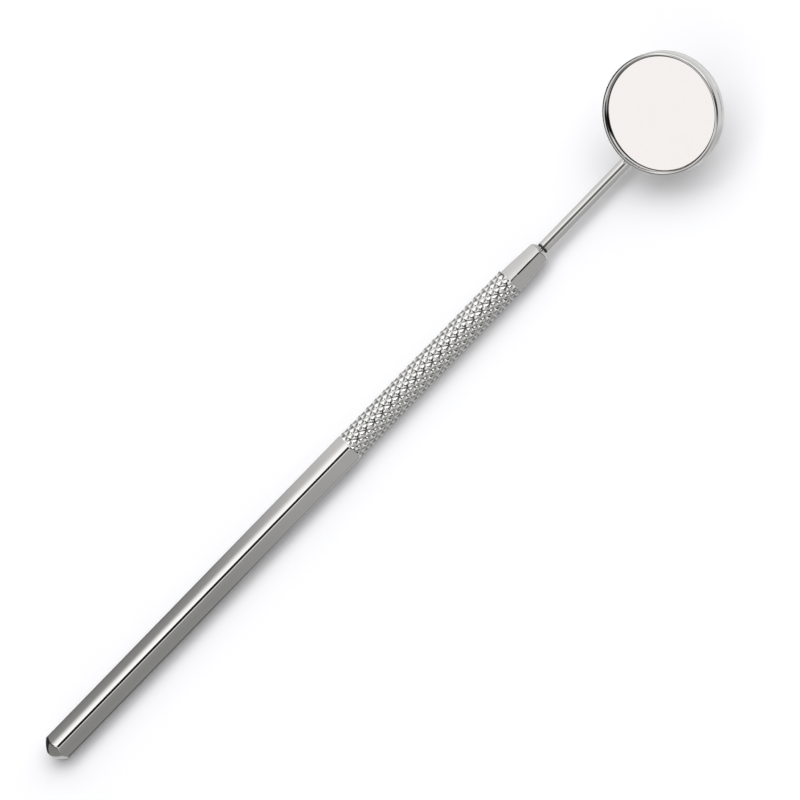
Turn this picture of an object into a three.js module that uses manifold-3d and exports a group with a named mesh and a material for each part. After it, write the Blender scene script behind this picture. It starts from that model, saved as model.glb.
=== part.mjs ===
// Mouth mirror: a hexagonal stainless handle with a knurled grip, and a screw-in mirror head on a
// straight stem. Millimetres, +Z up. The handle lies along +X on one of its flats, its head end
// towards +X, and the origin is the middle of the plain shank's bottom flat.
import * as THREE from "three";
import { mergeVertices } from "three/addons/utils/BufferGeometryUtils.js";
import Module from "manifold-3d";

const wasm = await Module();
wasm.setup();

// ---- Driving dimensions -------------------------------------------------------------------------

// Handle, measured along its axis from the butt end.
const HANDLE_LENGTH = 127; // butt face to socket face
const SHANK_LENGTH = 77.5; // butt face to the start of the grip
const GRIP_LENGTH = 42;
const SHANK_FLATS = 5.5; // across the flats
const BUTT_FACE_RADIUS = 0.8;
const BUTT_DOME_LENGTH = 1.75; // along the axis, up to the flats
const BUTT_DOME_RADIUS = 5.8; // of the arc between the butt face and the flats
const SHOULDER_CHAMFER = 0.35; // where the shank's corners step down to the grip

// Knurl: two crossing sets of grooves that leave a diamond at every meeting of two ridges.
const KNURL_DEPTH = 0.24;
const KNURL_STARTS = 12;
const KNURL_PITCH = 2.13; // along the axis, from one diamond to the next

// Neck: six flats ground on a taper between the grip and the socket face.
const NECK_FLATS_REAR = 4.76; // across the flats, where their run-out begins
const NECK_FLATS_FRONT = 3.94; // across the flats, at the socket face
const RUN_OUT_RADIUS = 3.6; // of the grinding wheel's curve up into the grip
const RUN_OUT_INSET = 1; // from the grip's end to where each flat turns up
const SOCKET_RIM = 0.2; // of the flat ring round the socket
const SOCKET_CHAMFER_SLOPE = 1.2; // radius over length

// Stem: a wire that is threaded at its handle end and bent to lie along the cup's back at the other.
const STEM_DIAMETER = 2.2;
const STEM_REACH = 23.6; // socket face to the knee, which is level with the cup's wall
const STEM_LAP = 4; // from the knee to the wire's end, along the cup's back
const KNEE_LENGTH = 1.4; // of the bend, along each leg
const THREAD_LENGTH = 6;
const THREAD_CLEARANCE = 0.05; // radial, in the handle's tapped hole
const SOCKET_SPARE_DEPTH = 0.8; // of the hole, past the end of the thread
const EDGE_BREAK = 0.15; // chamfer on the thread's end

// Seal ring, in a relief groove between the thread and the stem's shoulder.
const SEAL_SECTION = 0.34;
const SEAL_STANDOFF = 0.16; // socket face to the ring
const SEAL_CLEARANCE = 0.05;

// Head, measured along its own axis from the cup's back.
const HEAD_RADIUS = 11.1;
const HEAD_HEIGHT = 4;
const CUP_BACK = 0.3;
const CUP_CORNER_RADIUS = 0.8;
const SHEET = 0.22; // of the cup's spigot and the bezel's skirt
const CUP_SHOULDER = 1.9; // height of the seam between cup and bezel
const CUSHION_THICKNESS = 0.7;
const GLASS_THICKNESS = 1.7;
const COATING_THICKNESS = 0.1;
const LIP_WIDTH = 0.85; // from the head's outside to the mirror's visible edge
const LIP_CREST_RADIUS = 0.3;
const LIP_EDGE = 0.15; // of the lip's straight inner edge, on the glass
const FIT_GAP = 0.05; // between pieces that lie against each other in the head
const HEAD_TILT = 24.4; // degrees between the stem's axis and the mirror's face
const HEAD_CLOCK = 19.2; // degrees that the tightened thread turns the head about the stem

// Silver solder between the stem's lap and the cup.
const SOLDER_REACH = 0.6; // to each side of the stem, and past its end
const SOLDER_THICKNESS = 0.8; // from the cup's back
const SOLDER_GAP = 0.08;

// Facets.
const HEAD_SEGMENTS = 72;
const SHAFT_SEGMENTS = 32;
const WIRE_STEP = 0.7; // along the stem
const ARC_STEPS = 6;

// ---- Finishes -----------------------------------------------------------------------------------

const finish = (color, metalness, roughness) =>
  new THREE.MeshStandardMaterial({ color, metalness, roughness });
const SATIN_STEEL = finish("#b9b9b8", 1, 0.3);
const POLISHED_STEEL = finish("#c6c6c5", 1, 0.15);
const SOLDER = finish("#b4b2aa", 1, 0.4);
const BLACK_RUBBER = finish("#161616", 0, 0.7);
const CORK_PAPER = finish("#a98f6d", 0, 0.9);
const CLEAR_GLASS = finish("#cfe0d8", 0, 0.05);
const RHODIUM = finish("#ececec", 1, 0.02);

// ---- Helpers ------------------------------------------------------------------------------------

const AXIS_X = new THREE.Vector3(1, 0, 0);
const CLEAR = 1; // how far cutters and overlapping blanks run past what they meet

/** Turns a closed geometry into a solid that can be joined and cut. */
function toSolid(geometry) {
  const bare = geometry.clone();
  bare.deleteAttribute("normal");
  bare.deleteAttribute("uv");
  const merged = mergeVertices(bare, 1e-5);
  const corners = merged.index.array;
  const triangles = [];
  for (let i = 0; i < corners.length; i += 3) {
    const [a, b, c] = [corners[i], corners[i + 1], corners[i + 2]];
    if (a !== b && b !== c && c !== a) triangles.push(a, b, c);
  }
  return new wasm.Manifold(
    new wasm.Mesh({
      numProp: 3,
      vertProperties: merged.attributes.position.array,
      triVerts: new Uint32Array(triangles),
    }),
  );
}

/** Turns a solid back into a geometry. */
function toGeometry(solid) {
  const mesh = solid.getMesh();
  const geometry = new THREE.BufferGeometry();
  geometry.setAttribute("position", new THREE.BufferAttribute(mesh.vertProperties, 3));
  geometry.setIndex(new THREE.BufferAttribute(mesh.triVerts, 1));
  geometry.computeVertexNormals();
  return geometry;
}

/** A body of revolution about the Y axis from [position along the axis, radius] points. */
function lathe(profile, segments) {
  return new THREE.LatheGeometry(
    profile.map(([along, radius]) => new THREE.Vector2(radius, along)),
    segments,
  );
}

/** A body of revolution about +X. The profile runs from low x to high x. */
const turned = (profile, segments = SHAFT_SEGMENTS) =>
  lathe(profile, segments).rotateZ(-Math.PI / 2);

/** A body of revolution about +Z. The profile runs from low z to high z, outside before inside. */
const spun = (profile, segments = HEAD_SEGMENTS) => lathe(profile, segments).rotateX(Math.PI / 2);

/** Points of an arc, both ends included, from angle a to angle b in degrees. */
function arc(centreAlong, centreRadius, radius, a, b, steps = ARC_STEPS) {
  return Array.from({ length: steps + 1 }, (_, i) => {
    const angle = THREE.MathUtils.degToRad(a + ((b - a) * i) / steps);
    return [centreAlong + radius * Math.cos(angle), centreRadius + radius * Math.sin(angle)];
  });
}

/** A regular polygon's outline, with a corner on the first axis. */
function polygon(radius, sides) {
  const corners = Array.from({ length: sides }, (_, i) => {
    const angle = (2 * Math.PI * i) / sides;
    return new THREE.Vector2(radius * Math.cos(angle), radius * Math.sin(angle));
  });
  return new THREE.Shape(corners);
}

/** A named mesh of a solid or a geometry. */
function piece(name, shape, material) {
  const geometry = shape.isBufferGeometry ? shape : toGeometry(shape);
  const mesh = new THREE.Mesh(geometry, material);
  mesh.name = name;
  return mesh;
}

// ---- Handle -------------------------------------------------------------------------------------

const CORNER_SHARE = 1 / Math.cos(Math.PI / 6); // a hexagon's corner radius over its flat radius
const GRIP_END = SHANK_LENGTH + GRIP_LENGTH;
const GRIP_CREST_RADIUS = SHANK_FLATS / 2; // level with the flats, so that the bar lies flat
const STEM_RADIUS = STEM_DIAMETER / 2;
const SOCKET_RADIUS = STEM_RADIUS + THREAD_CLEARANCE;
const SOCKET_FACE_RADIUS = SOCKET_RADIUS + SOCKET_RIM;

/** Profile of the butt's dome, from the axis out past the corners of the hexagon. */
function buttProfile() {
  const rise = SHANK_FLATS / 2 - BUTT_FACE_RADIUS;
  const chord = Math.hypot(rise, BUTT_DOME_LENGTH);
  const slope = Math.atan2(rise, BUTT_DOME_LENGTH);
  const half = Math.asin(chord / 2 / BUTT_DOME_RADIUS);
  const start = Math.PI / 2 - slope - half; // angle of the face's edge seen from the arc's centre
  const centreX = BUTT_DOME_RADIUS * Math.cos(start);
  const centreR = BUTT_FACE_RADIUS - BUTT_DOME_RADIUS * Math.sin(start);
  const corner = (SHANK_FLATS / 2) * CORNER_SHARE;
  const end = Math.asin(Math.min(1, (corner - centreR) / BUTT_DOME_RADIUS));
  const toDegrees = THREE.MathUtils.radToDeg;
  return [
    [0, 0],
    ...arc(centreX, centreR, BUTT_DOME_RADIUS, 180 - toDegrees(start), 180 - toDegrees(end)),
  ];
}

/** The plain hexagonal shank, with its domed butt and the chamfer at the grip. */
function shank() {
  const corner = (SHANK_FLATS / 2) * CORNER_SHARE;
  const hexagon = new THREE.CylinderGeometry(
    corner, corner, SHANK_LENGTH, 6, 1, false, Math.PI / 6,
  )
    .rotateZ(-Math.PI / 2)
    .translate(SHANK_LENGTH / 2, 0, 0);
  const envelope = turned([
    ...buttProfile(),
    [SHANK_LENGTH - SHOULDER_CHAMFER, corner],
    [SHANK_LENGTH, corner - SHOULDER_CHAMFER],
    [SHANK_LENGTH, 0],
  ]);
  return toSolid(hexagon).intersect(toSolid(envelope));
}

/** The knurled grip: every second point of a turned grid is a diamond's peak, the rest are roots. */
function grip() {
  const around = 2 * KNURL_STARTS;
  const along = 2 * Math.round(GRIP_LENGTH / KNURL_PITCH);
  const root = GRIP_CREST_RADIUS - KNURL_DEPTH;
  const ring = (i) => SHANK_LENGTH - CLEAR / 2 + ((GRIP_LENGTH + CLEAR) * i) / along;
  const profile = Array.from({ length: along + 1 }, (_, i) => [ring(i), root]);
  const blank = lathe([[ring(0), 0], ...profile, [ring(along), 0]], around);
  const bare = blank.clone();
  bare.deleteAttribute("normal");
  bare.deleteAttribute("uv");
  const grid = mergeVertices(bare, 1e-5);
  const place = grid.attributes.position;
  const peaks = new Set();
  for (let v = 0; v < place.count; v++) {
    const [x, y, z] = [place.getX(v), place.getY(v), place.getZ(v)];
    const radius = Math.hypot(x, z);
    if (radius < root / 2) continue;
    const column = Math.round((Math.atan2(x, z) / Math.PI) * KNURL_STARTS);
    const row = Math.round(((y - ring(0)) / (ring(along) - ring(0))) * along);
    const atEnd = row === 0 || row === along;
    if (atEnd || (column + row) % 2 !== 0) continue;
    peaks.add(v);
    place.setXYZ(v, (x * GRIP_CREST_RADIUS) / root, y, (z * GRIP_CREST_RADIUS) / root);
  }
  foldAlongGrooves(grid, peaks);
  return toSolid(grid.rotateZ(-Math.PI / 2));
}

/** Turns the diagonal of each grid cell so that it joins two roots and never two peaks. */
function foldAlongGrooves(grid, peaks) {
  const index = grid.index.array;
  for (let i = 0; i + 5 < index.length; i += 6) {
    const cell = [...index.slice(i, i + 6)];
    const corners = [...new Set(cell)];
    const shared = corners.filter((v) => cell.filter((c) => c === v).length === 2);
    if (corners.length !== 4 || shared.length !== 2 || !shared.every((v) => peaks.has(v))) continue;
    const [first, second] = [cell.slice(0, 3), cell.slice(3)];
    const lone = second.find((v) => !first.includes(v));
    const apex = first.find((v) => !second.includes(v));
    const at = first.indexOf(apex);
    const [next, last] = [first[(at + 1) % 3], first[(at + 2) % 3]];
    grid.index.array.set([apex, next, lone, apex, lone, last], i);
  }
}

/** The blank that the neck's flats are ground on, with the socket face's chamfer. */
function neckBlank() {
  const radius = (NECK_FLATS_REAR / 2) * CORNER_SHARE;
  const chamferLength = (radius - SOCKET_FACE_RADIUS) / SOCKET_CHAMFER_SLOPE;
  return toSolid(
    turned([
      [GRIP_END - CLEAR, 0],
      [GRIP_END - CLEAR, radius],
      [HANDLE_LENGTH - chamferLength, radius],
      [HANDLE_LENGTH, SOCKET_FACE_RADIUS],
      [HANDLE_LENGTH, 0],
    ]),
  );
}

/** What one pass of the grinding wheel leaves: all that lies under one flat and its run-out. */
function underFlat() {
  const turn = GRIP_END + RUN_OUT_INSET;
  const reach = SHANK_FLATS; // beyond every radius of the handle
  const [rear, front] = [NECK_FLATS_REAR / 2, NECK_FLATS_FRONT / 2];
  const shape = new THREE.Shape();
  shape.moveTo(-CLEAR, -reach);
  shape.lineTo(HANDLE_LENGTH + CLEAR, -reach);
  shape.lineTo(HANDLE_LENGTH + CLEAR, front);
  shape.lineTo(HANDLE_LENGTH, front);
  shape.lineTo(turn, rear);
  shape.absarc(turn, rear + RUN_OUT_RADIUS, RUN_OUT_RADIUS, -Math.PI / 2, -Math.PI * 0.85, true);
  shape.lineTo(turn - RUN_OUT_RADIUS, reach + RUN_OUT_RADIUS);
  shape.lineTo(-CLEAR, reach + RUN_OUT_RADIUS);
  shape.closePath();
  return new THREE.ExtrudeGeometry(shape, {
    depth: 2 * reach,
    bevelEnabled: false,
    curveSegments: 2 * ARC_STEPS,
  })
    .rotateX(Math.PI / 2)
    .translate(0, reach, 0);
}

/** The tapped hole, as a plain bore with a drill's pointed end. */
function socketHole() {
  const bottom = HANDLE_LENGTH - THREAD_LENGTH - SOCKET_SPARE_DEPTH;
  return toSolid(
    turned([
      [bottom - SOCKET_RADIUS / 2, 0],
      [bottom, SOCKET_RADIUS],
      [HANDLE_LENGTH + CLEAR, SOCKET_RADIUS],
      [HANDLE_LENGTH + CLEAR, 0],
    ]),
  );
}

function handle() {
  let body = shank().add(grip()).add(neckBlank());
  for (let side = 0; side < 6; side++) {
    const flat = underFlat().rotateX((side * Math.PI) / 3);
    body = body.intersect(toSolid(flat));
  }
  return piece("handle", body.subtract(socketHole()), SATIN_STEEL);
}

// ---- Head ---------------------------------------------------------------------------------------

const GLASS_BACK = CUP_BACK + FIT_GAP + CUSHION_THICKNESS + FIT_GAP;
const COATING_BACK = GLASS_BACK + GLASS_THICKNESS + FIT_GAP;
const LIP_BACK = COATING_BACK + COATING_THICKNESS + FIT_GAP;
const SKIRT_INNER = HEAD_RADIUS - SHEET;
const SPIGOT_OUTER = SKIRT_INNER - FIT_GAP;
const CUP_INNER = SPIGOT_OUTER - SHEET;
const GLASS_RADIUS = CUP_INNER - FIT_GAP;
const APERTURE_RADIUS = HEAD_RADIUS - LIP_WIDTH;
const LAP_DEPTH = STEM_RADIUS + SOLDER_GAP; // cup's back to the axis of the stem's lap

/** Pressed cup: back, side wall and the thinner spigot that the bezel is pressed over. */
function headCup() {
  const profile = [
    [0, 0],
    ...arc(CUP_CORNER_RADIUS, HEAD_RADIUS - CUP_CORNER_RADIUS, CUP_CORNER_RADIUS, 180, 90),
    [CUP_SHOULDER, HEAD_RADIUS],
    [CUP_SHOULDER, SPIGOT_OUTER],
    [LIP_BACK - FIT_GAP, SPIGOT_OUTER],
    [LIP_BACK - FIT_GAP, CUP_INNER],
    [CUP_BACK, CUP_INNER],
    [CUP_BACK, 0],
  ];
  return piece("head_cup", toSolid(spun(profile)), POLISHED_STEEL);
}

/** Bezel: a thin skirt over the cup's spigot, and the lip that bevels down on to the glass. */
function bezelRing() {
  const crest = Math.min(LIP_CREST_RADIUS, LIP_WIDTH / 2);
  const profile = [
    [CUP_SHOULDER + FIT_GAP, SKIRT_INNER],
    [CUP_SHOULDER + FIT_GAP, HEAD_RADIUS],
    ...arc(HEAD_HEIGHT - crest, HEAD_RADIUS - crest, crest, 90, -60, 2 * ARC_STEPS),
    [LIP_BACK + LIP_EDGE, APERTURE_RADIUS],
    [LIP_BACK, APERTURE_RADIUS],
    [LIP_BACK, SKIRT_INNER],
    [CUP_SHOULDER + FIT_GAP, SKIRT_INNER],
  ];
  return piece("bezel_ring", toSolid(spun(profile)), POLISHED_STEEL);
}

/** A capsule-shaped blank along the stem's lap, grown by margin past the wire. */
function aroundLap(margin, from) {
  const radius = STEM_RADIUS + margin;
  const end = STEM_LAP - HEAD_RADIUS;
  return toSolid(
    turned([
      [from, 0],
      [from, radius],
      [end + margin / 2, radius],
      [end + margin, radius - margin / 2],
      [end + margin, 0],
    ]).translate(0, 0, -LAP_DEPTH),
  );
}

/** Solder in the two corners between the wire and the cup's back, and across the wire's end. */
function solderFillet() {
  const start = KNEE_LENGTH - HEAD_RADIUS;
  const layer = new THREE.BoxGeometry(2 * HEAD_RADIUS, 2 * HEAD_RADIUS, SOLDER_THICKNESS)
    .translate(0, 0, -SOLDER_GAP - SOLDER_THICKNESS / 2);
  const outer = aroundLap(SOLDER_REACH, start).intersect(toSolid(layer));
  return piece("solder_fillet", outer.subtract(aroundLap(SOLDER_GAP, start - CLEAR)), SOLDER);
}

/** A flat round disc of the head's stack. */
function disc(name, back, thickness, radius, material) {
  const profile = [
    [back, 0],
    [back, radius],
    [back + thickness, radius],
    [back + thickness, 0],
  ];
  return piece(name, toSolid(spun(profile)), material);
}

function head() {
  const group = new THREE.Group();
  group.add(headCup());
  group.add(disc("cushion_disc", CUP_BACK + FIT_GAP, CUSHION_THICKNESS, GLASS_RADIUS, CORK_PAPER));
  group.add(disc("mirror_glass", GLASS_BACK, GLASS_THICKNESS, GLASS_RADIUS, CLEAR_GLASS));
  group.add(disc("mirror_coating", COATING_BACK, COATING_THICKNESS, GLASS_RADIUS, RHODIUM));
  group.add(bezelRing());
  group.add(solderFillet());
  group.rotation.y = -THREE.MathUtils.degToRad(HEAD_TILT);
  const knee = new THREE.Vector3(-HEAD_RADIUS, 0, -LAP_DEPTH).applyEuler(group.rotation);
  group.position.set(HANDLE_LENGTH + STEM_REACH, 0, 0).sub(knee);
  return group;
}

// ---- Stem and seal ------------------------------------------------------------------------------

const SHOULDER = HANDLE_LENGTH + SEAL_STANDOFF + SEAL_SECTION + SEAL_CLEARANCE;

/** The wire's path from its shoulder, round the knee, to its end under the cup. */
function wirePath() {
  const tilt = THREE.MathUtils.degToRad(HEAD_TILT);
  const along = new THREE.Vector3(Math.cos(tilt), 0, Math.sin(tilt));
  const knee = new THREE.Vector3(HANDLE_LENGTH + STEM_REACH, 0, 0);
  const bendStart = knee.clone().setX(knee.x - KNEE_LENGTH);
  const bendEnd = knee.clone().addScaledVector(along, KNEE_LENGTH);
  const end = knee.clone().addScaledVector(along, STEM_LAP);
  const path = new THREE.CurvePath();
  path.add(new THREE.LineCurve3(new THREE.Vector3(SHOULDER, 0, 0), bendStart));
  path.add(new THREE.QuadraticBezierCurve3(bendStart, knee, bendEnd));
  path.add(new THREE.LineCurve3(bendEnd, end));
  return path;
}

/** The bent wire, and turned from its end the relief groove and the thread, as a plain shank. */
function stem() {
  const path = wirePath();
  const wire = new THREE.ExtrudeGeometry(polygon(STEM_RADIUS, SHAFT_SEGMENTS), {
    steps: Math.ceil(path.getLength() / WIRE_STEP),
    extrudePath: path,
  });
  const groove = STEM_RADIUS - SEAL_SECTION - SEAL_CLEARANCE;
  const shank = turned([
    [HANDLE_LENGTH - THREAD_LENGTH, 0],
    [HANDLE_LENGTH - THREAD_LENGTH, STEM_RADIUS - EDGE_BREAK],
    [HANDLE_LENGTH - THREAD_LENGTH + EDGE_BREAK, STEM_RADIUS],
    [HANDLE_LENGTH + SEAL_STANDOFF - SEAL_CLEARANCE, STEM_RADIUS],
    [HANDLE_LENGTH + SEAL_STANDOFF - SEAL_CLEARANCE, groove],
    [SHOULDER + CLEAR, groove],
    [SHOULDER + CLEAR, 0],
  ]);
  return piece("stem", toSolid(wire).add(toSolid(shank)), POLISHED_STEEL);
}

function sealRing() {
  const section = SEAL_SECTION / 2;
  const ring = new THREE.TorusGeometry(STEM_RADIUS - section, section, 10, SHAFT_SEGMENTS)
    .rotateY(Math.PI / 2)
    .translate(HANDLE_LENGTH + SEAL_STANDOFF + section, 0, 0);
  return piece("seal_ring", toSolid(ring), BLACK_RUBBER);
}

// ---- Assembly -----------------------------------------------------------------------------------

const mirror = new THREE.Group(); // what unscrews from the handle
mirror.add(head(), stem());
mirror.quaternion.setFromAxisAngle(AXIS_X, THREE.MathUtils.degToRad(HEAD_CLOCK));

const mouthMirror = new THREE.Group();
mouthMirror.add(handle(), sealRing(), mirror);
mouthMirror.position.set(-(BUTT_DOME_LENGTH + SHANK_LENGTH) / 2, 0, SHANK_FLATS / 2);

const part = new THREE.Group();
part.add(mouthMirror);
export default part;
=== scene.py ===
"""Looks of a dental mouth mirror: a hexagonal stainless handle and a screw-in mirror head.

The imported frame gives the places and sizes, and each class here makes one sub-assembly's finer
meshes and finishes. Sizes are in millimetres in the handle's own frame: x along its axis from the
butt, y to its left, z up, with the axis at zero. ``Place`` turns them into the frame's metres.
"""

import logging
import math
from collections.abc import Sequence
from dataclasses import dataclass, field
from enum import Enum

import bmesh
import bpy
import numpy as np
from mathutils import Matrix, Vector


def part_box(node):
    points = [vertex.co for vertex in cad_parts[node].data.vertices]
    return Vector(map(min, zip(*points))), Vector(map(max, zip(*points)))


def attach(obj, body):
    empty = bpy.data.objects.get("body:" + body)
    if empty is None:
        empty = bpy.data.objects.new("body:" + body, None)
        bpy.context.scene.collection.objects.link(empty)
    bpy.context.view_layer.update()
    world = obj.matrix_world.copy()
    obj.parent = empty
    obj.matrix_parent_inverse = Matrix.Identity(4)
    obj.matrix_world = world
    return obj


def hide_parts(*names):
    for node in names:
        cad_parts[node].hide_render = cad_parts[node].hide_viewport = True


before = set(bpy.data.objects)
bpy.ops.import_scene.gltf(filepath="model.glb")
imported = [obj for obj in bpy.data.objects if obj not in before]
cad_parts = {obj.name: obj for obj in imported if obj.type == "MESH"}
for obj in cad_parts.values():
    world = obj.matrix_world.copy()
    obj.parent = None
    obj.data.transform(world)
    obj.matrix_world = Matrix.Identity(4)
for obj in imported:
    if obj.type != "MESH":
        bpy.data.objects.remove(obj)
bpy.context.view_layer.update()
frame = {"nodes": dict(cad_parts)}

LOG = logging.getLogger("mouth_mirror")
MM = 0.001
CUT_EDGE = math.radians(40)  # two faces that meet at more than this have a crisp edge
Profile = Sequence[tuple[float, float]]  # (position along the axis, radius), in millimetres


class Slot(Enum):
    """The record's material slots."""

    SATIN = "satin_steel"
    POLISHED = "polished_steel"
    SOLDER = "silver_solder"
    RUBBER = "black_rubber"
    FIBRE = "cork_paper"
    GLASS = "clear_glass"
    MIRROR = "mirror_face"


class Body(Enum):
    """The rigid bodies that the pieces ride on."""

    HANDLE = "handle"
    SEAL = "seal"
    MIRROR = "mirror"


# ---- Small helpers ------------------------------------------------------------------------------


def linear(hex_colour: str) -> tuple[float, float, float, float]:
    """Turns an sRGB hex colour into linear RGBA.

    Args:
        hex_colour: the colour, such as "#C8C8C8".

    Returns:
        The four linear channels, with full opacity.
    """
    channels = [int(hex_colour[i : i + 2], 16) / 255 for i in (1, 3, 5)]
    decoded = [c / 12.92 if c <= 0.04045 else ((c + 0.055) / 1.055) ** 2.4 for c in channels]
    return (decoded[0], decoded[1], decoded[2], 1.0)


def add_node(
    tree: bpy.types.NodeTree, kind: str, settings: dict | None = None, inputs: dict | None = None
) -> bpy.types.Node:
    """Adds a node with its settings, input values and links.

    Args:
        tree: the node tree that gets the node.
        kind: the node's type.
        settings: attribute names and values.
        inputs: input names or indices, each with a value or with an output socket to link.

    Returns:
        The new node.
    """
    made = tree.nodes.new(kind)
    for name, value in (settings or {}).items():
        setattr(made, name, value)
    for name, value in (inputs or {}).items():
        if isinstance(value, bpy.types.NodeSocket):
            tree.links.new(value, made.inputs[name])
        else:
            made.inputs[name].default_value = value
    return made


def show(name: str, data: bpy.types.ID) -> bpy.types.Object:
    """Puts a mesh, lamp or camera in the scene.

    Args:
        name: the object's name.
        data: what it shows.

    Returns:
        The object, at the origin.
    """
    made = bpy.data.objects.new(name, data)
    bpy.context.scene.collection.objects.link(made)
    return made


class Term:
    """A number in a node tree, so that a formula of nodes reads like any other sum."""

    def __init__(self, socket: bpy.types.NodeSocket) -> None:
        """Takes the number that a socket gives."""
        self.socket = socket

    def __add__(self, other: "Term | float") -> "Term":
        """Adds."""
        return work_out("ADD", self, other)

    def __sub__(self, other: "Term | float") -> "Term":
        """Subtracts."""
        return work_out("SUBTRACT", self, other)

    def __rsub__(self, other: float) -> "Term":
        """Subtracts from a plain number."""
        return work_out("SUBTRACT", other, self)

    def __mul__(self, other: "Term | float") -> "Term":
        """Multiplies."""
        return work_out("MULTIPLY", self, other)

    def __truediv__(self, other: "Term | float") -> "Term":
        """Divides."""
        return work_out("DIVIDE", self, other)

    def __rtruediv__(self, other: float) -> "Term":
        """Divides a plain number."""
        return work_out("DIVIDE", other, self)


def work_out(operation: str, *values: Term | float) -> Term:
    """Adds one step of a formula to the tree that its terms are in.

    Args:
        operation: the step's name, such as "ADD".
        values: its terms and plain numbers.

    Returns:
        The step's result.
    """
    tree = next(value.socket.id_data for value in values if isinstance(value, Term))
    inputs = {i: value.socket if isinstance(value, Term) else value for i, value in enumerate(values)}
    return Term(add_node(tree, "ShaderNodeMath", {"operation": operation}, inputs).outputs[0])


def soft_min(a: np.ndarray, b: float | np.ndarray, blend: float) -> np.ndarray:
    """Takes the smaller of two radii, and rounds the edge where they meet.

    Args:
        a: radii in millimetres.
        b: other radii, or one for all of them.
        blend: how far from the edge the rounding reaches, in millimetres.

    Returns:
        The rounded minimum.
    """
    share = np.clip(blend - np.abs(a - b), 0, None) / blend
    return np.minimum(a, b) - share**2 * blend / 4


def stations(*stretches: tuple[float, float, int]) -> np.ndarray:
    """Gives places along an axis, stretch by stretch, from (start, end, count) of each."""
    return np.concatenate([np.linspace(*stretch) for stretch in stretches])


def soft_step(x: np.ndarray) -> np.ndarray:
    """Eases from 0 to 1 as x goes from 0 to 1."""
    x = np.clip(x, 0, 1)
    return x * x * (3 - 2 * x)


def arc(
    centre: tuple[float, float], radius: float, start: float, end: float, steps: int
) -> list[tuple[float, float]]:
    """Gives the points of an arc in a profile.

    Args:
        centre: the arc's centre, as (along, radius).
        radius: the arc's own radius.
        start: the first point's angle in degrees from the axis direction.
        end: the last point's angle.
        steps: how many stretches the arc has.

    Returns:
        The arc's points, both ends included.
    """
    angles = np.radians(np.linspace(start, end, steps + 1))
    return [(centre[0] + radius * math.cos(a), centre[1] + radius * math.sin(a)) for a in angles]


@dataclass(frozen=True)
class Place:
    """Where something stands in the frame: a turn and a shift, from millimetres to metres."""

    matrix: Matrix

    def apply(self, points: np.ndarray) -> np.ndarray:
        """Places points.

        Args:
            points: an array of n by 3 millimetre coordinates.

        Returns:
            The points in the frame, in metres.
        """
        turn = np.array(self.matrix.to_3x3())
        return (points @ turn.T + np.array(self.matrix.translation)) * MM


def ring(
    centre: Vector, side: Vector, up: Vector, radii: float | np.ndarray, angles: np.ndarray
) -> np.ndarray:
    """Gives one ring of a skin, in the plane of two directions.

    Args:
        centre: the ring's centre.
        side: the direction of angle 90 degrees.
        up: the direction of angle 0.
        radii: the distance from the centre, of all points or of each.
        angles: the angle of each point, in radians.

    Returns:
        An array of n by 3 coordinates.
    """
    flat = np.outer(radii * np.cos(angles), np.array(up)) + np.outer(radii * np.sin(angles), np.array(side))
    return flat + np.array(centre)


def closed_mesh(name: str, points: np.ndarray, faces: list[list[int]]) -> bpy.types.Object:
    """Makes a smooth-shaded object from a closed set of faces, and turns them outwards.

    Args:
        name: the object's name.
        points: its vertices, in the frame's metres.
        faces: its faces, which all wind the same way.

    Returns:
        The mesh object, at the origin.
    """
    mesh = bpy.data.meshes.new(name)
    mesh.from_pydata(points.tolist(), [], faces)
    measured = bmesh.new()
    measured.from_mesh(mesh)
    if measured.calc_volume(signed=True) < 0:
        mesh.flip_normals()
    measured.free()
    mesh.shade_smooth()
    return show(name, mesh)


def skin(
    name: str, rings: Sequence[np.ndarray], tips: tuple[Vector, Vector] | None, place: Place
) -> bpy.types.Object:
    """Makes a closed mesh from rings of points.

    Args:
        name: the object's name.
        rings: rings of the same number of points, in order.
        tips: the two end points, or None where the last ring joins the first.
        place: where the rings stand.

    Returns:
        The mesh object.
    """
    count, columns = len(rings), len(rings[0])
    ends = [np.array(tip)[None] for tip in tips or ()]
    column = np.arange(columns)
    after = (column + 1) % columns
    faces: list[list[int]] = []
    for i in range(count - 1 if tips else count):
        here, there = i * columns, (i + 1) % count * columns
        faces += np.stack([here + column, here + after, there + after, there + column], -1).tolist()
    if tips:
        first, last = count * columns, count * columns + 1
        end = first - columns
        faces += [[first, int(b), int(a)] for a, b in zip(column, after)]
        faces += [[last, int(end + a), int(end + b)] for a, b in zip(column, after)]
    return closed_mesh(name, place.apply(np.vstack([*rings, *ends])), faces)


def lathe(name: str, profile: Profile, place: Place, segments: int = 256) -> bpy.types.Object:
    """Turns a closed profile about the local z axis, as a ring-shaped or a solid body.

    Args:
        name: the object's name.
        profile: points of (height, radius). A solid body starts and ends on the axis.
        place: where the body's own frame stands.
        segments: facets round the axis.

    Returns:
        The mesh object. Its "turning" attribute holds the distance along the profile.
    """
    angles = np.linspace(0, 2 * math.pi, segments, endpoint=False)
    outline, tips = list(profile), None
    if profile[0][1] == 0:
        tips = (Vector((0, 0, profile[0][0])), Vector((0, 0, profile[-1][0])))
        outline = outline[1:-1]
    rings = [
        ring(Vector((0, 0, h)), Vector((0, 1, 0)), Vector((1, 0, 0)), r, angles)
        for h, r in outline
    ]
    made = skin(name, rings, tips, place)
    steps = np.linalg.norm(np.diff(np.array(outline), axis=0), axis=1)
    length = np.concatenate([[0.0], np.cumsum(steps)])
    turning = np.repeat(length, segments)
    if tips:
        turning = np.append(turning, [0.0, length[-1]])
    store(made, "turning", turning)
    return made


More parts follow.
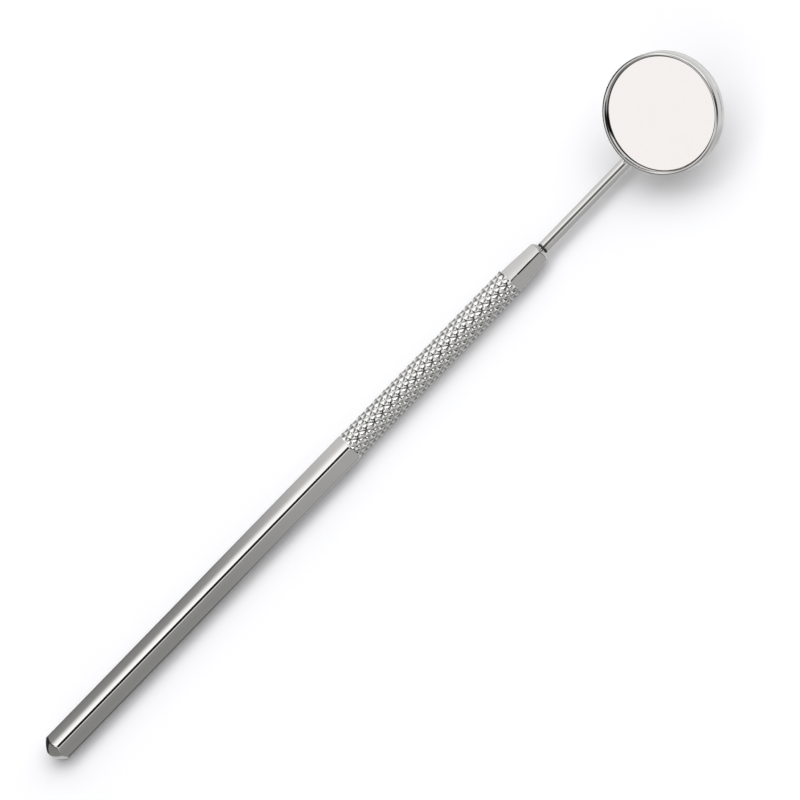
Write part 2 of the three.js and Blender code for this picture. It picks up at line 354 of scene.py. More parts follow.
def store(piece: bpy.types.Object, name: str, values: np.ndarray) -> None:
    """Stores one number for each vertex.

    Args:
        piece: the mesh object.
        name: the attribute's name.
        values: one value for each vertex.
    """
    attribute = piece.data.attributes.new(name, "FLOAT", "POINT")
    attribute.data.foreach_set("value", np.asarray(values, np.float32))


def crease(piece: bpy.types.Object) -> None:
    """Keeps the cut edges of a turned or ground piece crisp in its smooth shading."""
    piece.data.set_sharp_from_angle(angle=CUT_EDGE)


def dress(piece: bpy.types.Object, finish: "Finish", body: Body, node: str) -> None:
    """Gives a piece its finish and ties it to the frame.

    Args:
        piece: the mesh object.
        finish: what its surface is.
        body: the rigid body that it rides on.
        node: the frame's node that it stands for.
    """
    piece.data.materials.clear()
    piece.data.materials.append(finish.material())
    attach(piece, body.value)
    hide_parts(node)
    LOG.info("%s: %d vertices, %s", piece.name, len(piece.data.vertices), finish.title)


# ---- Finishes -----------------------------------------------------------------------------------


@dataclass(frozen=True)
class Surface:
    """A material as it is being drawn, with the effects that the finishes share."""

    tree: bpy.types.NodeTree
    shader: bpy.types.Node

    def uneven(self, size_mm: float, detail: float, **settings: object) -> bpy.types.NodeSocket:
        """Adds a cloudy unevenness of a real size.

        Args:
            size_mm: its size on the piece.
            detail: how many finer layers it has.
            settings: other inputs of the pattern by name.

        Returns:
            Its strength, from 0 to 1.
        """
        place = add_node(self.tree, "ShaderNodeTexCoord").outputs["Object"]
        inputs = {"Vector": place, "Scale": 1 / (size_mm * MM), "Detail": detail, **settings}
        return add_node(self.tree, "ShaderNodeTexNoise", None, inputs).outputs["Fac"]

    def tone(self, share: bpy.types.NodeSocket, first: object, second: object) -> bpy.types.NodeSocket:
        """Colours the surface between two tones.

        Args:
            share: how much of the second tone shows.
            first: the first tone, as linear RGBA or as a socket.
            second: the second tone.

        Returns:
            The colour's socket.
        """
        mixed = add_node(self.tree, "ShaderNodeMix", {"data_type": "RGBA"}, {0: share, 6: first, 7: second})
        self.tree.links.new(mixed.outputs[2], self.shader.inputs["Base Color"])
        return mixed.outputs[2]

    def gloss(
        self, value: bpy.types.NodeSocket, span: tuple[float, float], roughness: tuple[float, float]
    ) -> None:
        """Lets the gloss follow a pattern.

        Args:
            value: the pattern.
            span: the pattern's values at the two ends.
            roughness: the roughness at the two ends.
        """
        ends = {"From Min": span[0], "From Max": span[1], "To Min": roughness[0], "To Max": roughness[1]}
        graded = add_node(self.tree, "ShaderNodeMapRange", None, {"Value": value, **ends})
        self.tree.links.new(graded.outputs["Result"], self.shader.inputs["Roughness"])

    def relief(self, height: bpy.types.NodeSocket, depth_mm: float, strength: float) -> None:
        """Adds a fine relief.

        Args:
            height: its height, from 0 to 1.
            depth_mm: the real depth from 0 to 1.
            strength: how much of it shows.
        """
        inputs = {"Strength": strength, "Distance": depth_mm * MM, "Height": height}
        raised = add_node(self.tree, "ShaderNodeBump", None, inputs)
        self.tree.links.new(raised.outputs["Normal"], self.shader.inputs["Normal"])


@dataclass(frozen=True)
class Finish:
    """What a surface is made of. Each kind of finish draws its own nodes."""

    title: str
    slot: Slot
    colour: str
    roughness: float
    metallic: float = 0.0

    def material(self) -> bpy.types.Material:
        """Makes the material once, and gives the same one on later calls.

        Returns:
            The material.
        """
        found = bpy.data.materials.get(self.title)
        if found:
            return found
        made = bpy.data.materials.new(self.title)
        made.use_nodes = True
        made.diffuse_color = linear(self.colour)
        shader = made.node_tree.nodes["Principled BSDF"]
        shader.inputs["Base Color"].default_value = linear(self.colour)
        shader.inputs["Roughness"].default_value = self.roughness
        shader.inputs["Metallic"].default_value = self.metallic
        self.draw(Surface(made.node_tree, shader))
        return made

    def draw(self, surface: Surface) -> None:
        """Adds what this kind of surface shows."""
        raise NotImplementedError

    def shade(self, share: float) -> tuple[float, float, float, float]:
        """Gives the finish's colour, darkened to a share of itself."""
        r, g, b, _ = linear(self.colour)
        return (r * share, g * share, b * share, 1.0)


@dataclass(frozen=True)
class Steel(Finish):
    """Stainless steel, ground and then buffed.

    Buffing leaves fine hairlines that follow the wheel, so the gloss is a little uneven across
    them and each highlight is drawn out a little across the lines. Where the piece stores a
    gap-shade attribute, its colour gets painted shade, near-black, for the dark gap beside the glass.
    """

    metallic: float = 1.0
    grain: tuple[float, float, float] = (0.02, 1.0, 1.0)  # how often lines repeat along x, y and z
    grain_mm: float = 0.12  # between hairlines; real ones are too fine to show
    depth_mm: float = 0.0002
    patch_mm: float = 9.0  # of the uneven buffing
    turned: bool = False  # hairlines run round the piece's own axis

    def coordinates(self, tree: bpy.types.NodeTree) -> bpy.types.NodeSocket:
        """Gives the coordinates that the hairlines follow.

        Args:
            tree: the material's node tree.

        Returns:
            A vector in metres, stretched along the hairlines.
        """
        place = add_node(tree, "ShaderNodeTexCoord").outputs["Object"]
        if not self.turned:
            inputs = {0: place, 1: self.grain}
            return add_node(tree, "ShaderNodeVectorMath", {"operation": "MULTIPLY"}, inputs).outputs[0]
        along = add_node(tree, "ShaderNodeAttribute", {"attribute_name": "turning"}).outputs["Fac"]
        line = add_node(tree, "ShaderNodeCombineXYZ", None, {"X": (Term(along) * MM).socket}).outputs[0]
        drift = add_node(
            tree, "ShaderNodeVectorMath", {"operation": "MULTIPLY_ADD"},
            {0: place, 1: (0.01, 0.01, 0.01), 2: line},
        )
        return drift.outputs["Vector"]

    def draw(self, surface: Surface) -> None:
        """Adds the hairlines, the uneven buffing and faint handling marks."""
        lines = {"Vector": self.coordinates(surface.tree), "Roughness": 0.6}
        hairline = surface.uneven(self.grain_mm, 3.0, **lines)
        patch = surface.uneven(self.patch_mm, 4.0, Roughness=0.55)
        self.buff(surface, hairline, patch)
        self.paint(surface, patch)
        surface.relief(hairline, self.depth_mm, 0.6)

    def buff(self, surface: Surface, hairline: bpy.types.NodeSocket, patch: bpy.types.NodeSocket) -> None:
        """Makes the gloss uneven.

        Args:
            surface: the material as it is being drawn.
            hairline: the hairlines' pattern.
            patch: the buffing's pattern.
        """
        both = Term(patch) * 0.5 + Term(hairline)
        surface.gloss(both.socket, (0.45, 1.05), (self.roughness * 0.65, self.roughness * 1.5))

    def paint(self, surface: Surface, patch: bpy.types.NodeSocket) -> None:
        """Makes the tone a little uneven, and paints shade near-black where the gap-shade attribute is set.

        Args:
            surface: the material as it is being drawn.
            patch: the buffing's pattern.
        """
        clean = surface.tone(patch, linear(self.colour), self.shade(0.93))
        # painted shade: near-black where the piece's gap-shade attribute is 1, beside the mirror's glass
        painted_gap_shade = add_node(surface.tree, "ShaderNodeAttribute", {"attribute_name": "painted_gap_shade"})
        surface.tone(painted_gap_shade.outputs["Fac"], clean, linear("#161514"))


@dataclass(frozen=True)
class KnurledSteel(Steel):
    """Knurled stainless steel: crests glossier than the grooves, with painted shade in the grooves and the
    crests' brighter tone a painted highlight.
    """

    groove_shade_share: float = 0.75  # painted shade: the grooves' brightness beside the crests'

    def crest(self, surface: Surface) -> bpy.types.NodeSocket:
        """Gives the height between the grooves' bottoms and the crests, from 0 to 1."""
        return add_node(surface.tree, "ShaderNodeAttribute", {"attribute_name": "knurl"}).outputs["Fac"]

    def buff(self, surface: Surface, hairline: bpy.types.NodeSocket, patch: bpy.types.NodeSocket) -> None:
        """Makes the crests glossier than the grooves."""
        surface.gloss(self.crest(surface), (0.0, 0.8), (self.roughness * 1.6, self.roughness))

    def paint(self, surface: Surface, patch: bpy.types.NodeSocket) -> None:
        """Paints shade into the grooves and leaves the crests at the full, brighter colour, as lit and shaded
        copies of the steel.
        """
        rise = add_node(
            surface.tree, "ShaderNodeMapRange", {"interpolation_type": "SMOOTHSTEP"},
            {"Value": self.crest(surface), "From Min": 0.05, "From Max": 0.55},
        )
        # painted shade in the grooves, painted highlight on the crests
        surface.tone(rise.outputs["Result"], self.shade(self.groove_shade_share), linear(self.colour))


@dataclass(frozen=True)
class MirrorFace(Finish):
    """Front-surface rhodium coating: a clean mirror with the faintest wiping marks."""

    metallic: float = 1.0
    wiped_colour: str = "#F6EFEB"
    wipe_mm: float = 2.5

    def draw(self, surface: Surface) -> None:
        """Adds wiping marks that barely soften the reflection."""
        wipe = surface.uneven(self.wipe_mm, 5.0, Roughness=0.6, Distortion=1.2)
        surface.gloss(wipe, (0.35, 0.75), (self.roughness, self.roughness * 5))
        surface.tone(wipe, linear(self.colour), linear(self.wiped_colour))


@dataclass(frozen=True)
class Solder(Finish):
    """Silver solder as it flowed: a soft, slightly wavy and warmer metal."""

    metallic: float = 1.0
    oxide_colour: str = "#8F8B80"
    wave_mm: float = 0.7
    wave_depth_mm: float = 0.02

    def draw(self, surface: Surface) -> None:
        """Adds the flow's waves and the oxide's darker patches."""
        wave = surface.uneven(self.wave_mm, 3.0)
        surface.tone(wave, linear(self.oxide_colour), linear(self.colour))
        surface.relief(wave, self.wave_depth_mm, 0.7)


@dataclass(frozen=True)
class Matt(Finish):
    """A matt surface with a fine grain, such as rubber or pressed cork paper."""

    other_colour: str = "#000000"
    grain_mm: float = 0.2
    depth_mm: float = 0.01

    def draw(self, surface: Surface) -> None:
        """Adds the grain in colour and height."""
        grain = surface.uneven(self.grain_mm, 4.0, Roughness=0.7)
        surface.tone(grain, linear(self.colour), linear(self.other_colour))
        surface.relief(grain, self.depth_mm, 0.5)


@dataclass(frozen=True)
class Glass(Finish):
    """Float glass, seen only at its edge: clear, with a faint green body."""

    grind_mm: float = 0.3
    ior: float = 1.52

    def draw(self, surface: Surface) -> None:
        """Makes the body clear and its ground edge slightly uneven."""
        surface.shader.inputs["Transmission Weight"].default_value = 1.0
        surface.shader.inputs["IOR"].default_value = self.ior
        surface.gloss(surface.uneven(self.grind_mm, 3.0), (0.0, 1.0), (0.0, 2 * self.roughness))


# Drawn hexagon bar, ground and buffed lengthways: long soft highlights with crisp edges.
BAR_STEEL = Steel("Stainless steel, buffed along the bar", Slot.SATIN, "#C9C8C6", 0.07)
# Rolled knurl: each diamond catches its own small glint; its colour is painted brighter than the bar's steel
# as a painted highlight, and its grooves get painted shade.
KNURL_STEEL = KnurledSteel(
    "Stainless steel, knurled", Slot.SATIN, "#EDECEA", 0.08, grain=(1.0, 1.0, 1.0), grain_mm=0.3
)
# Drawn and polished wire: one bright and one dark line along it.
WIRE_STEEL = Steel("Stainless wire, bright polished", Slot.POLISHED, "#CFCECC", 0.07)
# Pressed, then polished on a lathe: sharp reflections, with hairlines round the rim.
HEAD_STEEL = Steel(
    "Stainless steel, turned and bright polished", Slot.POLISHED, "#D4D3D1", 0.025, turned=True
)
# Rhodium on the glass's front: the brightest and sharpest reflection, without a second image.
MIRROR_FACE = MirrorFace("Rhodium front-surface mirror", Slot.MIRROR, "#F4F2F1", 0.012)
# Flowed by torch and not polished: a warmer, duller and slightly wavy metal.
SILVER_SOLDER = Solder("Silver solder, as flowed", Slot.SOLDER, "#C9C5B8", 0.28)
# Black ring between the handle's end and the stem's shoulder: matt rubber whose black is painted shade for
# the dark gap there, without a highlight.
GAP_SHADE_RUBBER = Matt("Black nitrile rubber", Slot.RUBBER, "#141414", 0.6, other_colour="#242424")
# Cork granules pressed with binder: speckled brown, with no shine.
CORK_PAPER = Matt(
    "Cork paper", Slot.FIBRE, "#A98F6D", 0.9, other_colour="#6E5638", grain_mm=0.5, depth_mm=0.05
)
# Float glass with a ground edge: faintly green and slightly frosted from the side.
FLOAT_GLASS = Glass("Float glass, ground edge", Slot.GLASS, "#E4F0EA", 0.08)


# ---- Handle -------------------------------------------------------------------------------------


class KnurlTree:
    """The Geometry Nodes tree of a diamond knurl: a tube whose height follows two crossing helices."""

    FLOATS = ("Length", "Crest Radius", "Depth", "Starts", "Pitch", "Flat", "Run-out")
    COUNTS = ("Rows", "Columns")

    def __init__(self) -> None:
        """Builds the tree with its named inputs."""
        self.tree = bpy.data.node_groups.new("Diamond knurl", "GeometryNodeTree")
        face = self.tree.interface
        face.new_socket("Geometry", in_out="OUTPUT", socket_type="NodeSocketGeometry")
        self.sockets = {
            name: face.new_socket(name, in_out="INPUT", socket_type=kind).identifier
            for names, kind in (
                (self.FLOATS, "NodeSocketFloat"),
                (self.COUNTS, "NodeSocketInt"),
                (("Material",), "NodeSocketMaterial"),
            )
            for name in names
        }
        self.build()

    def ridge(self, phase: Term) -> Term:
        """Gives one set of V-grooves: 0 in each groove's bottom, 1 half way to the next groove."""
        return work_out("PINGPONG", phase * 2.0, 1.0)

    def build(self) -> None:
        """Lays out the grid, rolls it into a tube and raises the diamonds."""
        given = add_node(self.tree, "NodeGroupInput").outputs
        length, crest, depth, starts, pitch, flat, run_out = (Term(given[name]) for name in self.FLOATS)
        grid = add_node(
            self.tree, "GeometryNodeMeshGrid", None,
            {"Size X": 1.0, "Size Y": 1.0, "Vertices X": given["Rows"], "Vertices Y": given["Columns"]},
        )
        place = add_node(self.tree, "GeometryNodeInputPosition").outputs[0]
        parts = add_node(self.tree, "ShaderNodeSeparateXYZ", None, {0: place}).outputs
        along, around = Term(parts["X"]) + 0.5, Term(parts["Y"]) + 0.5
        step = 1.0 / (Term(given["Rows"]) - 1.0)
        inside = work_out("MINIMUM", work_out("MAXIMUM", along, step), 1.0 - step)
        turns = around * starts
        travel = inside * length / pitch
        diamond = work_out("SMOOTH_MIN", self.ridge(turns + travel), self.ridge(turns - travel), 0.25)
        height = work_out("SMOOTH_MIN", diamond / (1.0 - flat), 1.0, 0.3)
        edge = work_out("MINIMUM", inside, 1.0 - inside)
        fade = work_out("MINIMUM", edge * length / run_out, 1.0)
        radius = crest - (1.0 - height) * depth * fade
        is_wall = work_out("LESS_THAN", step * 0.5, work_out("MINIMUM", along, 1.0 - along))
        reach = radius * is_wall  # the first and last rows close the tube's ends
        angle = around * (2 * math.pi)
        point = add_node(
            self.tree, "ShaderNodeCombineXYZ", None,
            {
                "X": (inside * length).socket,
                "Y": (reach * work_out("SINE", angle)).socket,
                "Z": (reach * work_out("COSINE", angle)).socket,
            },
        )
        geometry = grid.outputs["Mesh"]
        for kind, settings, inputs in (
            (
                "GeometryNodeStoreNamedAttribute", {"data_type": "FLOAT", "domain": "POINT"},
                {"Name": "knurl", "Value": height.socket},
            ),
            ("GeometryNodeSetPosition", None, {"Position": point.outputs[0]}),
            ("GeometryNodeMergeByDistance", None, {"Distance": 1e-6}),
            ("GeometryNodeSetShadeSmooth", None, {}),
            ("GeometryNodeRealizeInstances", None, {}),
            ("GeometryNodeSetMaterial", None, {"Material": given["Material"]}),
        ):
            geometry = add_node(self.tree, kind, settings, {0: geometry, **inputs}).outputs[0]
        add_node(self.tree, "NodeGroupOutput", None, {0: geometry})

    def make(self, name: str, **sizes: object) -> bpy.types.Object:
        """Makes a plain mesh object of the knurl.

        Args:
            name: the object's name.
            sizes: the tree's inputs by name, with spaces and hyphens as underscores, in metres.

        Returns:
            The mesh object, from x = 0 along +X.
        """
        seed = show(f"{name}_seed", bpy.data.meshes.new(f"{name}_seed"))
        modifier = seed.modifiers.new("Knurl", "NODES")
        modifier.node_group = self.tree
        for key, value in sizes.items():
            title = next(t for t in self.sockets if t.lower().replace(" ", "_").replace("-", "_") == key)
            modifier[self.sockets[title]] = value
        graph = bpy.context.evaluated_depsgraph_get()
        mesh = bpy.data.meshes.new_from_object(seed.evaluated_get(graph), depsgraph=graph)
        seed.modifiers.remove(modifier)
        bpy.data.objects.remove(seed)
        mesh.name = name
        return show(name, mesh)


@dataclass
class Handle:
    """The one-piece handle: domed butt, hexagonal shank, knurled grip, tapered neck and socket."""

    length: float = 127
    shank_length: float = 77.5
    grip_length: float = 42
    flats: float = 5.5
    corner_radius: float = 0.42  # of the shank's long edges
    crown: float = 0.08  # of each flat, from buffing
    polished_edge: float = 0.08  # reach of the rounding where two cuts meet
    butt_face_radius: float = 0.8
    butt_dome_length: float = 1.75
    butt_dome_radius: float = 5.8
    shoulder_chamfer: float = 0.35
    shoulder_edge: float = 0.06
    knurl_depth: float = 0.24
    knurl_starts: int = 12
    knurl_pitch: float = 2.13
    knurl_flat: float = 0.08  # share of each diamond that is left flat
    knurl_run_out: float = 0.3
    knurl_inset: float = 0.15  # how far the grip reaches into the shank
    knurl_stop: float = 0.45  # from the knurl's end to the grip's
    neck_overlap: float = 0.6  # how far the neck reaches into the grip
    neck_flats_rear: float = 4.76
    neck_flats_front: float = 3.94
    neck_corner_radius: float = 0.34
    neck_crown: float = 0.04
    run_out_inset: float = 1.0
    socket_radius: float = 1.15
    socket_rim: float = 0.2
    socket_depth: float = 6.8
    socket_edge: float = 0.08  # chamfer of the hole's edge
    chamfer_slope: float = 1.2
    place: Place = field(init=False)

    def __post_init__(self) -> None:
        """Reads the handle's place from the frame."""
        low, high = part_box("handle")
        shift = Vector((low.x, (low.y + high.y) / 2, (low.z + high.z) / 2)) / MM
        self.place = Place(Matrix.Translation(shift))

    @property
    def grip_end(self) -> float:
        """Where the grip ends, from the butt."""
        return self.shank_length + self.grip_length

    def hexagon(self, flat: float, angles: np.ndarray, corner: float, crown: float) -> np.ndarray:
        """Gives a rounded and crowned hexagon's radius at each angle.

        Args:
            flat: the distance of the flats from the axis.
            angles: angles from the upper flat's middle, in radians.
            corner: the radius of its rounded corners.
            crown: how far the flats' edges lie below their middles.

        Returns:
            The radii.
        """
        third = math.pi / 3
        off = np.abs((angles + third / 2) % third - third / 2)
        side = (flat - crown * (np.tan(off) / math.tan(third / 2)) ** 2) / np.cos(off)
        core = (flat - crown - corner) / math.cos(third / 2)
        turn = third / 2 - off
        room = np.clip(corner**2 - (core * np.sin(turn)) ** 2, 0, None)
        rounded = core * np.cos(turn) + np.sqrt(room)
        start = np.arctan((flat - crown - corner) * math.tan(third / 2) / (flat - crown))
        return np.where(off > start, np.minimum(side, rounded), side)

    def columns(self) -> np.ndarray:
        """Gives the angles of a ring's points.

        Returns:
            Angles in radians, close together at the hexagon's corners.
        """
        third = math.pi / 3
        share = np.linspace(-1, 1, 25)[:-1]
        eased = np.sign(share) * (1 - (1 - np.abs(share)) ** 1.8)
        return np.concatenate([i * third + eased * third / 2 for i in range(6)])

    def dome(self, x: float) -> float:
        """Gives the butt dome's radius.

        Args:
            x: the distance from the butt's face.

        Returns:
            The radius there, which stays at its largest past the dome.
        """
        rise = self.flats / 2 - self.butt_face_radius
        chord = math.hypot(rise, self.butt_dome_length)
        start = math.pi / 2 - math.atan2(rise, self.butt_dome_length)
        start -= math.asin(chord / 2 / self.butt_dome_radius)
        centre_x = self.butt_dome_radius * math.cos(start)
        centre_r = self.butt_face_radius - self.butt_dome_radius * math.sin(start)
        return centre_r + math.sqrt(self.butt_dome_radius**2 - (min(x, centre_x) - centre_x) ** 2)

    def bar_ring(self, x: float, radii: float | np.ndarray) -> np.ndarray:
        """Gives one ring of the bar.

        Args:
            x: where it stands.
            radii: one radius, or one for each of the ring's angles.

        Returns:
            The ring's points.
        """
        return ring(Vector((x, 0, 0)), Vector((0, 1, 0)), Vector((0, 0, 1)), radii, self.columns())

    def shank_radii(self, x: float) -> np.ndarray:
        """Gives the shank's radii, where the hexagon, the butt's dome and the shoulder cut each other.

        Args:
            x: the distance from the butt's face.

        Returns:
            The radius at each of a ring's angles.
        """
        bar = self.hexagon(self.flats / 2, self.columns(), self.corner_radius, self.crown)
        corner = self.flats / 2 / math.cos(math.pi / 6)
        cone = corner - self.shoulder_chamfer + (self.shank_length - x)
        return soft_min(soft_min(bar, self.dome(x), self.polished_edge), cone, self.shoulder_edge)

    def shank(self) -> bpy.types.Object:
        """Makes the butt and the plain hexagonal shank.

        Returns:
            The mesh object.
        """
        fine_butt, fine_shoulder = 3.2, 0.7  # stretches whose rings stand close together
        butt = fine_butt * (1 - np.cos(np.linspace(0, math.pi / 2, 56)))
        rest = stations(
            (fine_butt + 0.2, self.shank_length - fine_shoulder - 0.1, 40),
            (self.shank_length - fine_shoulder, self.shank_length, 12),
        )
        rings = [self.bar_ring(0.0, self.butt_face_radius - 0.05)]
        rings += [self.bar_ring(x, self.shank_radii(x)) for x in (*butt[1:], *rest)]
        made = skin("handle_shank", rings, (Vector((0, 0, 0)), Vector((self.shank_length, 0, 0))), self.place)
        crease(made)
        return made

    def grip(self) -> bpy.types.Object:
        """Makes the knurled grip, from just inside the shank to just inside the neck.

        Returns:
            The mesh object.
        """
        start = self.shank_length - self.knurl_inset
        made = KnurlTree().make(
            "knurled_grip",
            length=(self.grip_end - self.knurl_stop - start) * MM,
            crest_radius=self.flats / 2 * MM,
            depth=self.knurl_depth * MM,
            starts=float(self.knurl_starts),
            pitch=self.knurl_pitch * MM,
            flat=self.knurl_flat,
            run_out=self.knurl_run_out * MM,
            rows=400,
            columns=12 * self.knurl_starts + 1,
            material=KNURL_STEEL.material(),
        )
        shift = Vector((start, 0, 0)) + self.place.matrix.translation
        made.data.transform(Matrix.Translation(shift * MM))
        return made

    def neck_radii(self, x: float) -> np.ndarray:
        """Gives the neck's radii, where the round blank, the ground flats and the chamfer cut each other.

        Args:
            x: the distance from the butt's face.

        Returns:
            The radius at each of a ring's angles.
        """
        turn = self.grip_end + self.run_out_inset
        slope = (self.neck_flats_rear - self.neck_flats_front) / 2 / (self.length - turn)
        flat = self.neck_flats_rear / 2 - slope * max(0.0, x - turn)
        ground = self.hexagon(flat, self.columns(), self.neck_corner_radius, self.neck_crown)
        turned = self.neck_flats_rear / 2 / math.cos(math.pi / 6)
        cone = self.socket_radius + self.socket_rim + (self.length - x) * self.chamfer_slope
        return soft_min(soft_min(ground, turned, self.polished_edge), cone, self.polished_edge)

    def neck(self) -> bpy.types.Object:
        """Makes the tapered neck with its ground flats, end chamfer and socket.

        Returns:
            The mesh object.
        """
        start = self.grip_end - self.neck_overlap
        turn = self.grip_end + self.run_out_inset
        fine_end = 0.9  # of the chamfered end, whose rings stand close together
        places = stations(
            (start, turn, 22),
            (turn + 0.3, self.length - fine_end - 0.1, 16),
            (self.length - fine_end, self.length, 26),
        )
        bottom = self.length - self.socket_depth
        rings = [self.bar_ring(x, self.neck_radii(x)) for x in places]
        rings += [
            self.bar_ring(self.length, self.socket_radius + self.socket_edge),
            self.bar_ring(self.length - self.socket_edge, self.socket_radius),
            self.bar_ring(bottom, self.socket_radius),
        ]
        tips = (Vector((start, 0, 0)), Vector((bottom - self.socket_radius / 2, 0, 0)))
        made = skin("handle_neck", rings, tips, self.place)
        crease(made)
        return made

    def build(self) -> None:
        """Makes and dresses the handle's three stretches."""
        for piece, finish in (
            (self.shank(), BAR_STEEL),
            (self.grip(), KNURL_STEEL),
            (self.neck(), BAR_STEEL),
        ):
            dress(piece, finish, Body.HANDLE, "handle")


# ---- Mirror head --------------------------------------------------------------------------------


@dataclass
class MirrorHead:
    """What unscrews from the handle: the wire stem, the solder and the cup with its mirror."""

    handle: Handle
    wire_radius: float = 1.1
    reach: float = 23.6  # socket face to the knee
    lap: float = 4.0  # knee to the wire's end
    knee: float = 1.4  # of the bend, along each leg
    wire_edge: float = 0.06  # chamfer of the shoulder that meets the seal
    thread_length: float = 6.0
    thread_pitch: float = 0.45
    thread_depth: float = 0.2
    thread_play: float = 0.01  # of the thread's crests below the wire's radius
    thread_fade: float = 0.4  # over which the thread runs in and out
    thread_lead: float = 0.2  # how much the first turns are tapered
    seal_standoff: float = 0.16
    seal_section: float = 0.34
    clearance: float = 0.05
    tilt: float = 24.4  # degrees
    clock: float = 19.2  # degrees
    radius: float = 11.1
    height: float = 4.0
    cup_corner: float = 0.8
    cup_back: float = 0.3
    cup_shoulder: float = 1.9
    sheet: float = 0.22
    seam_edge: float = 0.06  # chamfer of the cup's and the bezel's edges at their seam
    lip_back: float = 3.0
    lip_width: float = 0.85
    lip_crest: float = 0.4
    lip_edge: float = 0.15
    lip_relief: float = 0.03  # chamfer of the lip's sharp corners
    bevel_rise: float = 0.24  # of the lip's bevel, from its edge to the bead's foot
    bead_width: float = 0.62
    painted_gap_shade_width: float = 0.2  # of the painted shade beside the glass: the dark gap there, painted near-black on the lip
    solder_reach: float = 0.5
    solder_gap: float = 0.08
    solder_sink: float = 0.03  # of the solder's foot below the cup's back

    @property
    def lap_depth(self) -> float:
        """Distance of the lap's axis below the cup's back."""
        return self.wire_radius + self.solder_gap

    def stem_place(self) -> Place:
        """Gives the place of the stem's frame: the handle's, turned to where the thread tightens."""
        return Place(self.handle.place.matrix @ Matrix.Rotation(math.radians(self.clock), 4, "X"))

    def head_place(self) -> Place:
        """Gives the place of the head's own frame.

        Returns:
            The place, with z out of the mirror and x away from the handle.
        """
        turn = Matrix.Rotation(-math.radians(self.tilt), 4, "Y")
        shift = self.knee_point - turn @ Vector((-self.radius, 0, -self.lap_depth))
        return Place(self.stem_place().matrix @ Matrix.Translation(shift) @ turn)

    @property
    def knee_point(self) -> Vector:
        """Where the wire's two straight legs would meet."""
        return Vector((self.handle.length + self.reach, 0, 0))

    @property
    def shoulder(self) -> float:
        """Where the wire's full thickness starts, past the seal ring."""
        return self.handle.length + self.seal_standoff + self.seal_section + self.clearance

    def thread_rings(self, angles: np.ndarray) -> list[np.ndarray]:
        """Gives the rings of the threaded end and its relief groove.

        Args:
            angles: the angle of each point of a ring.

        Returns:
            The rings, from the wire's end to its shoulder.
        """
        start = self.handle.length - self.thread_length
        end = self.handle.length + self.seal_standoff - self.clearance
        groove = self.wire_radius - self.seal_section - self.clearance
        rings = []
        for x in np.linspace(start, end, int((end - start) / self.thread_pitch * 10)):
            phase = (x - start) / self.thread_pitch - angles / (2 * math.pi)
            saw = np.abs((phase % 1) * 2 - 1)
            flank = 1 - np.clip(saw * 1.15, 0, 1)  # a little crest is left flat
            fade = soft_step(np.array([x - start, end - x]) / self.thread_fade).prod()
            lead = max(0.0, self.thread_lead - (x - start) * 0.8)
            radii = self.wire_radius - self.thread_play - self.thread_depth * flank * fade - lead
            rings.append(self.wire_ring(Vector((x, 0, 0)), 0.0, radii, angles))
        for x, radius in (
            (end, groove),
            (self.shoulder, groove),
            (self.shoulder, self.wire_radius - self.wire_edge),
            (self.shoulder + self.wire_edge, self.wire_radius),
        ):
            rings.append(self.wire_ring(Vector((x, 0, 0)), 0.0, radius, angles))
        return rings

    def wire_ring(
        self, centre: Vector, bend: float, radii: float | np.ndarray, angles: np.ndarray
    ) -> np.ndarray:
        """Gives one ring of the wire.

        Args:
            centre: a point on the wire's axis.
            bend: the wire's direction there, in radians up from the handle's axis.
            radii: one radius, or one for each angle.
            angles: the angle of each point.

        Returns:
            The ring's points.
        """
        up = Vector((-math.sin(bend), 0, math.cos(bend)))
        return ring(centre, Vector((0, 1, 0)), up, radii, angles)

    def stem(self) -> bpy.types.Object:
        """Makes the wire with its thread, knee and rounded end.

        Returns:
            The mesh object.
        """
        angles = np.linspace(0, 2 * math.pi, 72, endpoint=False)
        tilt = math.radians(self.tilt)
        rings = self.thread_rings(angles)
        knee = self.knee_point
        along = Vector((math.cos(tilt), 0, math.sin(tilt)))
        for x in np.linspace(self.shoulder + 1, knee.x - self.knee, 24)[:-1]:
            rings.append(self.wire_ring(Vector((x, 0, 0)), 0.0, self.wire_radius, angles))
        for share in np.linspace(0, 1, 20):
            before = knee - Vector((self.knee * (1 - share), 0, 0))
            after = knee + along * self.knee * share
            bend = math.atan2((after - before).z, (after - before).x)
            rings.append(self.wire_ring(before.lerp(after, share), bend, self.wire_radius, angles))
        dome = knee + along * (self.lap - self.wire_radius)
        for turn in np.radians(np.linspace(0, 88, 16)):
            centre = dome + along * self.wire_radius * math.sin(turn)
            rings.append(self.wire_ring(centre, tilt, self.wire_radius * math.cos(turn), angles))
        start = Vector((self.handle.length - self.thread_length, 0, 0))
        made = skin("stem_wire", rings, (start, knee + along * self.lap), self.stem_place())
        crease(made)
        return made

    def solder_section(self) -> np.ndarray:
        """Gives the solder's cross-section on one side of the lap.

        Returns:
            Points of (distance from the lap's middle, height from the cup's back): up the wire's
            side, down a hollow curve to the foot and back along the cup.
        """
        wire = [
            np.array([(self.wire_radius + 0.01) * math.sin(a), (self.wire_radius + 0.01) * math.cos(a)])
            - np.array([0, self.lap_depth])
            for a in np.radians(np.linspace(14, 62, 8))
        ]
        foot = np.array([self.wire_radius + self.solder_reach, -self.solder_sink])
        bulge = np.array([self.wire_radius * 0.98, -2 * self.solder_gap])
        hollow = [
            (1 - s) ** 2 * wire[-1] + 2 * s * (1 - s) * bulge + s * s * foot
            for s in np.linspace(0, 1, 9)[1:]
        ]
        return np.array([*wire, *hollow, [wire[0][0], -self.solder_sink]])

